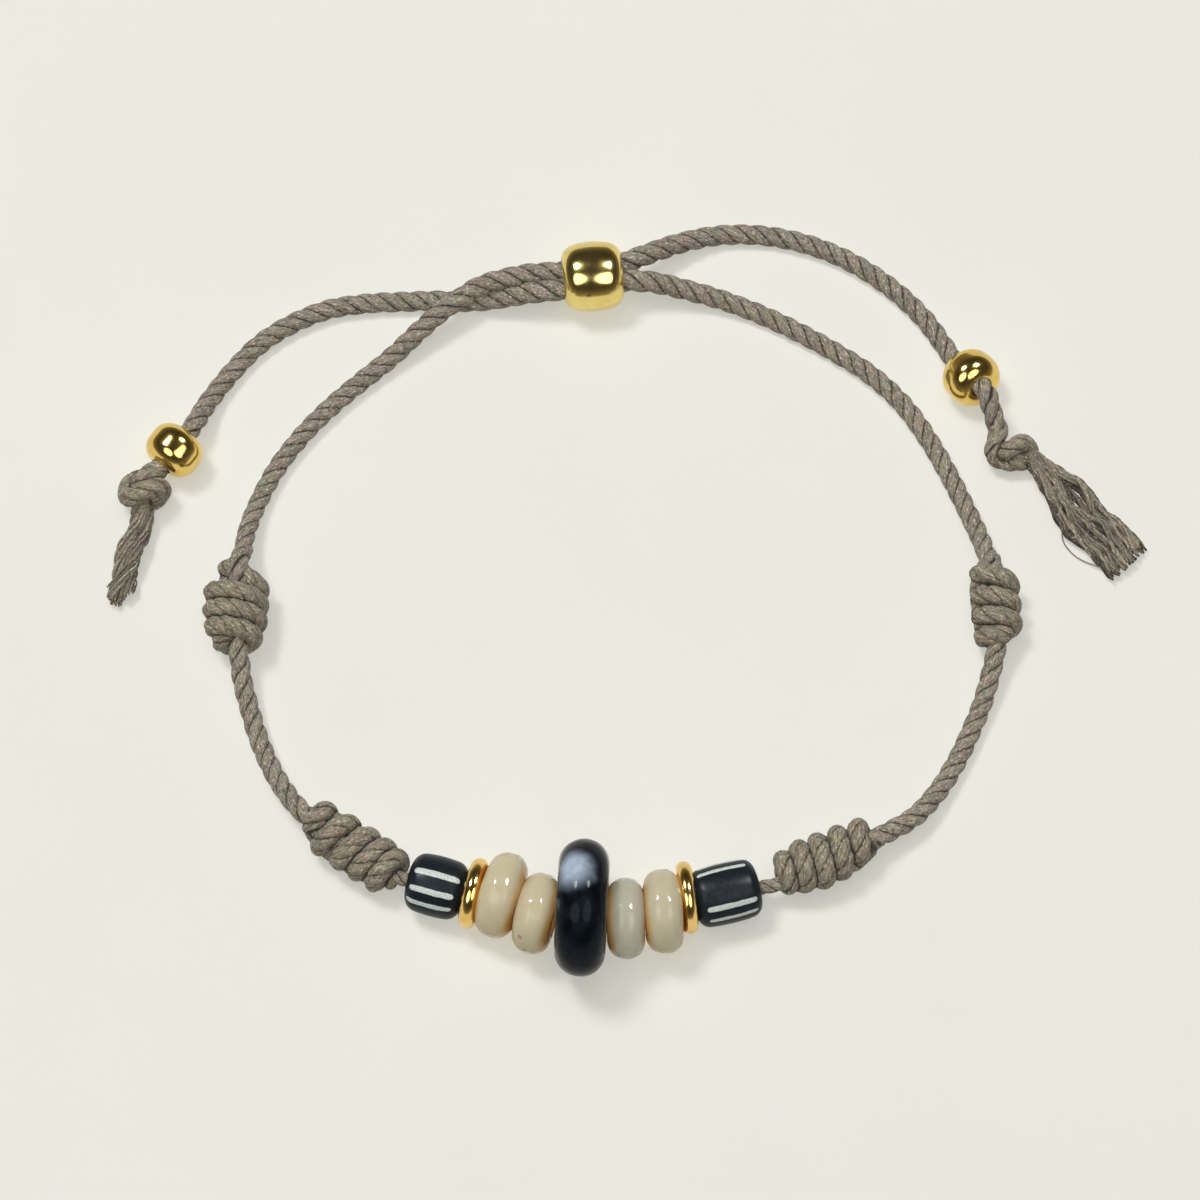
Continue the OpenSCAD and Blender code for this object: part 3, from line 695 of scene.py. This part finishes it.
# The left end is three strands that still hold together
frayLeft = {
    "route": [(-42.5, 9.9, 1.7), (-42.65, 8.8, 1.4), (-42.75, 7.7, 1.2), (-43.2, 6.3, 1.2), (-43.5, 5.1, 1.2),
              (-43.9, 3.8, 1.2), (-44.2, 2.5, 1.15), (-44.4, 1.4, 1.1), (-44.5, 0.85, 1.1)],
    "strands": 3, "strandSize": 0.56, "spread": 0.66, "turns": 0.45, "wander": 0.16,
    "yarns": 26, "yarnSize": 0.105, "taper": 0.3, "wave": 0.085}
# The right end is a flat fan of plies between two edges, every other ply below the rest. A crimp is
# how far a ply waves, its slowest rate, and how much faster it may be. Plies step aside round slits:
# share is where across the fan, and low is how much of that the low plies up to lowUpTo do.
frayRight = {
    "left": [(37.3, 14.6), (37.9, 13.6), (38.6, 12.35), (39.4, 10.4), (40.4, 8.3), (42.0, 6.55), (43.5, 4.95),
             (44.5, 3.5), (45.0, 3.1)],
    "right": [(38.1, 15.0), (39.25, 14.25), (41.1, 13.3), (42.8, 12.15), (44.2, 10.3), (45.7, 8.8),
              (46.6, 7.8), (47.4, 6.9), (48.1, 6.1)],
    "height": [1.9, 1.6, 1.2, 1.0, 0.9, 0.9, 0.9, 0.85, 0.8],
    "slits": [
        {"open": 0.78, "at": 0.43, "long": 0.12, "share": 0.65, "wide": 0.22, "low": 0.2, "lowUpTo": 0.9},
        {"open": 0.45, "at": 0.70, "long": 0.09, "share": 0.42, "wide": 0.2, "low": 0.1, "lowUpTo": 1.0}],
    "plies": 13, "plySize": 0.25, "thick": 0.5, "thinnest": 0.24, "slitEdge": 40,
    "crimps": [(0.07, 4.2, 1.4), (0.09, 1.5, 0.6)], "yarns": 8, "yarnSize": 0.105, "stray": 0.04, "cuts": 56,
    "loose": [(40.2, 8.9, 0.8), (40.5, 8.3, 0.6), (40.65, 7.0, 0.3), (41.5, 5.8, 0.2), (42.6, 5.05, 0.25),
              (43.9, 4.4, 0.6)],
    "looseSize": 0.065, "looseTone": 0.3}


# taper is how much thinner the yarn is at its tip
def yarnTube(path, size, tone, shade=0.75, taper=0.0):
    up = followLine(path)[1]
    run = runLength(path)
    thin = size * (1 - taper * (run / run[-1]) ** 2)
    rings, uv = tubeRings(path, up, thin, thin, 6)
    shade = np.broadcast_to(np.asarray(shade, float).reshape(-1, 1), rings.shape[:2])
    return rings, uv + draw.random() * 50, shade, tone


# A random wave along a line: how far it swings, its slowest rate, and how much faster it may be
def randomWave(along, swing, slow, faster):
    rate = slow + faster * draw.random()
    return swing * np.sin(along * rate + 6 * draw.random())


def frayedLeft(end):
    base = smoothRoute(end["route"], fraySpacing)
    side, up = followLine(base)
    run = runLength(base)
    part = run / run[-1]
    strandSize = end["strandSize"]
    tubes = []
    for s in range(end["strands"]):
        turn = (2 * math.pi * (s / end["strands"] + end["turns"] * part) + 0.6)[:, None]
        out = np.cos(turn) * side + 0.8 * np.sin(turn) * up
        wander = (randomWave(2 * math.pi * part, end["wander"], 1.1, 0.7) * part)[:, None]
        line = base + end["spread"] * (0.8 + 0.5 * part[:, None]) * out + wander * side
        for k in range(end["yarns"]):
            reach = strandSize * math.sqrt((k + 0.5) / end["yarns"])
            angle = (k * goldenTurn + 1.6 * part * math.pi + draw.random())[:, None]
            wave = randomWave(run, end["wave"], 2.2, 1.6)[:, None]
            path = line + (reach + wave) * (np.cos(angle) * side + np.sin(angle) * up)
            # The end is rounded: yarns at its sides are shorter
            edge = float(np.dot(path[-1] - base[-1], side[-1])) / (end["spread"] + strandSize)
            keep = len(path) - int(5 * min(1.0, (edge - 0.2) ** 2)) - int(draw.integers(0, 2))
            # Painted light: yarns that face up are lighter
            facing = -np.sin(angle[:, 0]) * reach / strandSize
            # Painted shade: some yarns are darker, as if they lay deeper than others and came up only here
            # and there
            deepShade = 0.58 + 0.6 * ((k + 9 * s) * 0.618 % 1)
            deepShade = deepShade * (0.92 + 0.22 * np.sin(1.9 * run + 1.7 * s + 0.9 * k))
            shade = (0.42 + 0.72 * np.clip(0.55 + 0.6 * facing, 0, 1)) * deepShade
            tubes.append(yarnTube(path[:keep], end["yarnSize"], draw.random(), shade[:keep], end["taper"]))
    return tubes


# An edge of the right end, cut into as many steps as the other edge
def fanEdge(edge):
    route = smoothRoute([(*point, height) for point, height in zip(edge, frayRight["height"])], fraySpacing)
    at = np.linspace(0, 1, frayRight["cuts"])
    return np.stack([np.interp(at, np.linspace(0, 1, len(route)), route[:, k]) for k in range(3)], axis=1)


# How far a ply steps aside round a slit
def stepAside(slit, part, share, low):
    aside = share - slit["share"]
    shift = slit["open"] * np.exp(-((part - slit["at"]) / slit["long"]) ** 2)
    shift = shift * math.tanh(aside * frayRight["slitEdge"]) * math.exp(-(aside / slit["wide"]) ** 2)
    return shift * (slit["low"] if low and share < slit["lowUpTo"] else 1.0)


def frayedRight(fan):
    a, b = fanEdge(fan["left"]), fanEdge(fan["right"])
    part = np.linspace(0, 1, fan["cuts"])[:, None]
    turns = part * 2 * math.pi
    across = unitRows(b - a)
    up = np.array((0, 0, 1.0))
    tubes = []
    for k in range(fan["plies"]):
        share = (k + 0.5) / fan["plies"]
        low = k % 2 == 0
        phase = 6 * draw.random()
        crimp = 0
        for i, (swing, slow, faster) in enumerate(fan["crimps"]):
            crimp = crimp + swing * np.sin(turns * (slow + faster * draw.random()) + (i + 1) * phase)
        aside = crimp * np.minimum(1, part * 3)
        for slit in fan["slits"]:
            aside = aside + stepAside(slit, part, share, low)
        thick = np.maximum(fan["thinnest"], fan["thick"] * (1 - 0.5 * part))
        thick = thick * (1 - 0.4 * (2 * share - 1) ** 2)
        lift = (-thick if low else thick) + 0.12 * np.sin(turns * 2.6 + 3 * phase)
        centre = a + (b - a) * share + across * aside + up * lift
        for j in range(fan["yarns"]):
            reach = fan["plySize"] * math.sqrt((j + 0.5) / fan["yarns"]) * (1 + 0.25 * part)
            turn = j * goldenTurn + turns * (1.5 + 0.3 * draw.random()) + phase
            stray = randomWave(60 * part, fan["stray"], 0.8, 0.4)
            path = centre + across * (reach * np.cos(turn) + stray) + up * reach * np.sin(turn)
            # Painted light and shade: yarns that face up are lighter, and the low plies are darker
            facing = np.sin(turn[:, 0]) * reach[:, 0] / fan["plySize"]
            shade = (0.14 + 0.65 * np.clip(0.5 + 0.65 * facing, 0, 1)) * (0.62 if low else 1.0)
            keep = fan["cuts"] - int(draw.integers(0, 4))
            tubes.append(yarnTube(path[:keep], fan["yarnSize"], draw.random(), shade[:keep]))
    # One fine fibre that has come away on the left
    loose = smoothRoute(fan["loose"], fraySpacing)
    tubes.append(yarnTube(loose, fan["looseSize"], fan["looseTone"]))
    return tubes


for side, tubes in (("left", frayedLeft(frayLeft)), ("right", frayedRight(frayRight))):
    piece = meshFromTubes("frayed_yarns_" + side, tubes, looseYarn)
    finishPiece(piece, "frayed_end_" + side)
print("ends frayed")


# Each bead is a rounded outline spun round its hole, then laid on the cord. crown is how far its
# side swells, turn its angle in the plan, and rise how many degrees it tilts up to the right.
stripedBead = {"outer": 5.4, "hole": 1.8}
spacer = {"hole": 3.0, "crown": 0.0, "rise": 0}
creamRing = {"hole": 3.3, "crown": 0.12, "rise": 0}
stopper = {"outer": 5.1, "length": 3.9, "hole": 2.0, "corner": 1.5, "crown": 0.15}
beads = {
    "striped_bead_left": {
        **stripedBead, "length": 5.0, "corner": 1.0, "crown": 0.32,
        "centre": (-15.5, -26.25, 2.95), "turn": -15.5, "rise": 1},
    "spacer_left": {
        **spacer, "outer": 6.3, "length": 1.5, "corner": 0.72, "centre": (-12.25, -27.0, 3.35), "turn": -14},
    "cream_bead_1": {
        **creamRing, "outer": 7.6, "length": 3.45, "corner": 1.5,
        "centre": (-9.8, -27.35, 3.9), "turn": -16.5},
    "cream_bead_2": {
        **creamRing, "outer": 7.15, "length": 3.35, "corner": 1.46,
        "centre": (-6.75, -29.05, 4.05), "turn": -13},
    "black_disc": {
        "outer": 12.0, "length": 4.4, "hole": 3.2, "corner": 2.12, "crown": 0.0,
        "centre": (-2.75, -29.1, 6.05), "turn": -3, "rise": 0},
    "cream_bead_3": {
        **creamRing, "outer": 7.1, "length": 3.3, "corner": 1.46, "centre": (1.05, -29.5, 4.05), "turn": 1},
    "cream_bead_4": {
        **creamRing, "outer": 7.4, "length": 3.3, "corner": 1.42, "centre": (4.32, -28.8, 3.9), "turn": 4},
    "spacer_right": {
        **spacer, "outer": 6.4, "length": 1.4, "corner": 0.68, "centre": (6.38, -27.4, 3.35), "turn": 7},
    "striped_bead_right": {
        **stripedBead, "length": 5.8, "corner": 0.95, "crown": 0.26,
        "centre": (9.8, -26.85, 2.85), "turn": 14.5, "rise": -1},
    "slide_bead": {
        "outer": 6.4, "length": 5.45, "hole": 3.9, "corner": 1.25, "crown": 0.5,
        "centre": (-1.88, 31.85, 3.2), "turn": 5, "rise": 0},
    "stopper_left": {**stopper, "centre": (-39.7, 15.0, 2.57), "turn": 53.6, "rise": 3.6},
    "stopper_right": {**stopper, "centre": (32.55, 22.05, 2.7), "turn": -59, "rise": 32.5}}
beadShape = {"cornerCuts": 12, "holeCorner": 0.55, "holeCuts": 6, "sideCuts": 9, "spinSteps": 112,
             "cloudSize": 2.6}


# Selects the points that a test picks, in edit mode, and rounds them where size is given
def pickPoints(piece, test, size=0.0, cuts=0):
    mesh = bmesh.from_edit_mesh(piece.data)
    bpy.ops.mesh.select_all(action="DESELECT")
    for point in mesh.verts:
        point.select = bool(test(point.co))
    mesh.select_flush_mode()
    bmesh.update_edit_mesh(piece.data)
    if size:
        bpy.ops.mesh.bevel(offset=size, offset_type="OFFSET", segments=cuts, affect="VERTICES")


def spinBead(name, bead):
    half, hole, crown = bead["length"] / 2, bead["hole"] / 2, bead["crown"]
    side = bead["outer"] / 2 - crown
    middle = (side + hole) / 2
    hair = 0.001
    bpy.ops.object.select_all(action="DESELECT")
    bpy.ops.mesh.primitive_plane_add(size=1, location=(middle, 0, 0), rotation=(math.pi / 2, 0, 0))
    piece = bpy.context.object
    piece.name = name
    piece.scale = (side - hole, bead["length"], 1)
    bpy.ops.object.transform_apply(location=True, rotation=True, scale=True)
    bpy.ops.object.mode_set(mode="EDIT")
    bpy.ops.mesh.select_mode(type="VERT")
    pickPoints(piece, lambda co: co.x > middle, bead["corner"], beadShape["cornerCuts"])
    holeCorner = min(beadShape["holeCorner"], (side - hole) * 0.35, half * 0.55)
    pickPoints(piece, lambda co: co.x < hole + hair, holeCorner, beadShape["holeCuts"])
    bpy.ops.mesh.select_all(action="SELECT")
    bpy.ops.mesh.delete(type="ONLY_FACE")
    # The straight outer side gets points of its own, so that it can swell
    pickPoints(piece, lambda co: co.x > side - hair / 10)
    bpy.ops.mesh.subdivide(number_cuts=beadShape["sideCuts"])
    mesh = bmesh.from_edit_mesh(piece.data)
    for point in mesh.verts:
        if point.co.x > middle:
            point.co.x += crown * (1 - (point.co.z / half) ** 2)
    bmesh.update_edit_mesh(piece.data)
    bpy.ops.mesh.select_all(action="SELECT")
    bpy.ops.mesh.spin(steps=beadShape["spinSteps"], angle=2 * math.pi, center=(0, 0, 0), axis=(0, 0, 1))
    bpy.ops.mesh.select_all(action="SELECT")
    bpy.ops.mesh.remove_doubles(threshold=hair / 2)
    bpy.ops.mesh.normals_make_consistent(inside=False)
    bpy.ops.object.mode_set(mode="OBJECT")
    return piece


# Hand-made glass is never quite round
def makeUneven(piece, uneven):
    cloud = bpy.data.textures.new(piece.name + "Cloud", "CLOUDS")
    cloud.noise_scale = beadShape["cloudSize"]
    swell = piece.modifiers.new("uneven", "DISPLACE")
    swell.texture = cloud
    swell.texture_coords = "LOCAL"
    swell.strength = uneven
    swell.mid_level = 0.5
    bpy.ops.object.modifier_apply(modifier="uneven")


# Keeps each point's place in the bead for the materials, and lays the bead on its cord
def layBead(piece, bead, material):
    points = np.zeros(len(piece.data.vertices) * 3, np.float32)
    piece.data.vertices.foreach_get("co", points)
    place = piece.data.attributes.new("beadPlace", "FLOAT_VECTOR", "POINT")
    place.data.foreach_set("vector", points)
    tilt = Matrix.Rotation(math.radians(90 - bead["rise"]), 4, "Y")
    turn = Matrix.Rotation(math.radians(bead["turn"]), 4, "Z")
    piece.data.transform(Matrix.Translation(Vector(bead["centre"]) * mm) @ turn @ tilt @ Matrix.Scale(mm, 4))
    piece.data.materials.clear()
    piece.data.materials.append(material)
    piece.data.update()


# Each bead's slot name, its material, and how uneven its glass is
beadLooks = {
    "striped_bead_left": ("striped_glass", stripedMaterial("stripedLeft", "striped_bead_left"), 0.06),
    "striped_bead_right": ("striped_glass", stripedMaterial("stripedRight", "striped_bead_right"), 0.06),
    "cream_bead_1": ("cream_glass", creamMaterial("creamOne", 3.1, 0.0, 0.10), 0.16),
    "cream_bead_2": ("cream_glass", creamMaterial("creamTwo", 8.4, 0.05, 0.28, creamMarks), 0.16),
    "cream_bead_3": ("cream_glass", creamMaterial("creamThree", 14.2, 0.8, -0.30), 0.16),
    "cream_bead_4": ("cream_glass", creamMaterial("creamFour", 21.7, 0.3, -0.12), 0.16),
    "black_disc": ("black_glass", discMaterial("blackGlass"), 0.14),
    "spacer_left": ("gold", spacerGold, 0.0),
    "spacer_right": ("gold", spacerGold, 0.0),
    "slide_bead": ("gold", slideGold, 0.0),
    "stopper_left": ("gold", stopperGold, 0.0),
    "stopper_right": ("gold", stopperGold, 0.0)}
for name, bead in beads.items():
    slot, material, uneven = beadLooks[name]
    piece = spinBead("bead_" + name, bead)
    if uneven:
        makeUneven(piece, uneven)
    bpy.ops.object.shade_smooth()
    layBead(piece, bead, material)
    finishPiece(piece, name)
print("beads strung")


# Table and light
tableLook = {"size": 1600, "pale": [(0.3, (0.800, 0.800, 0.742)), (0.7, (0.812, 0.812, 0.754))]}


def layFloor():
    bpy.ops.object.select_all(action="DESELECT")
    bpy.ops.mesh.primitive_plane_add(size=tableLook["size"] * mm, location=(0, 0, 0))
    floor = bpy.context.object
    floor.name = "table"
    n = Nodes(bpy.data.materials.new("paleTable"))
    pale = n.ramp(n.noise(n.place(), 30.0, 2.0), tableLook["pale"])
    floor.data.materials.append(n.finish({"Base Color": pale, "Roughness": 0.9, "Specular IOR Level": 0.1}))


# The first lamp fills without a shadow, and the next two cast soft ones. The others shine, which
# means that they show only as reflections.
lamps = {
    "openFill": {"at": (0, 0, 1500), "size": 1000, "watts": 15.6, "shadow": False},
    "softSky": {"at": (-60, 100, 1400), "size": 1500, "watts": 1.6},
    "softKey": {"at": (-490, 410, 1360), "size": 400, "watts": 6.6},
    "highLeft": {"at": (-215, 155, 425), "size": 130, "watts": 2.1, "shine": True},
    "highRight": {"at": (215, 155, 425), "size": 130, "watts": 2.1, "shine": True},
    "nearLeft": {"at": (-205, -215, 400), "size": 330, "watts": 0.75, "shine": True},
    "nearRight": {"at": (205, -215, 400), "size": 330, "watts": 0.75, "shine": True}}
# The room's own light by height, from level with the table at 0.5 to overhead at 1
roomLight = [(0.50, (0.30, 0.25, 0.18)), (0.60, (0.13, 0.11, 0.085)), (0.72, (0.050, 0.046, 0.041)),
             (1.0, (0.037, 0.035, 0.033))]


def hangLamps():
    for name, lamp in lamps.items():
        data = bpy.data.lights.new(name, "AREA")
        data.shape = "DISK"
        data.size = lamp["size"] * mm
        data.energy = lamp["watts"]
        data.use_shadow = lamp.get("shadow", True)
        light = bpy.data.objects.new(name, data)
        bpy.context.scene.collection.objects.link(light)
        light.location = Vector(lamp["at"]) * mm
        light.rotation_euler = (-Vector(lamp["at"])).to_track_quat("-Z", "Y").to_euler()
        light.visible_glossy = lamp.get("shine", False)
        light.visible_diffuse = not light.visible_glossy


def lightRoom():
    n = Nodes(bpy.data.worlds.new("room"), "Background")
    way = n.add("TexCoord").outputs["Generated"]
    height = n.math("MULTIPLY_ADD", n.axes(way)[2], 0.5, 0.5)
    scene = bpy.context.scene
    scene.world = n.finish({"Color": n.ramp(height, roomLight, "LINEAR")})
    scene.view_settings.view_transform = "Standard"
    scene.view_settings.look = "None"


layFloor()
hangLamps()
lightRoom()
print("table and lamps placed")
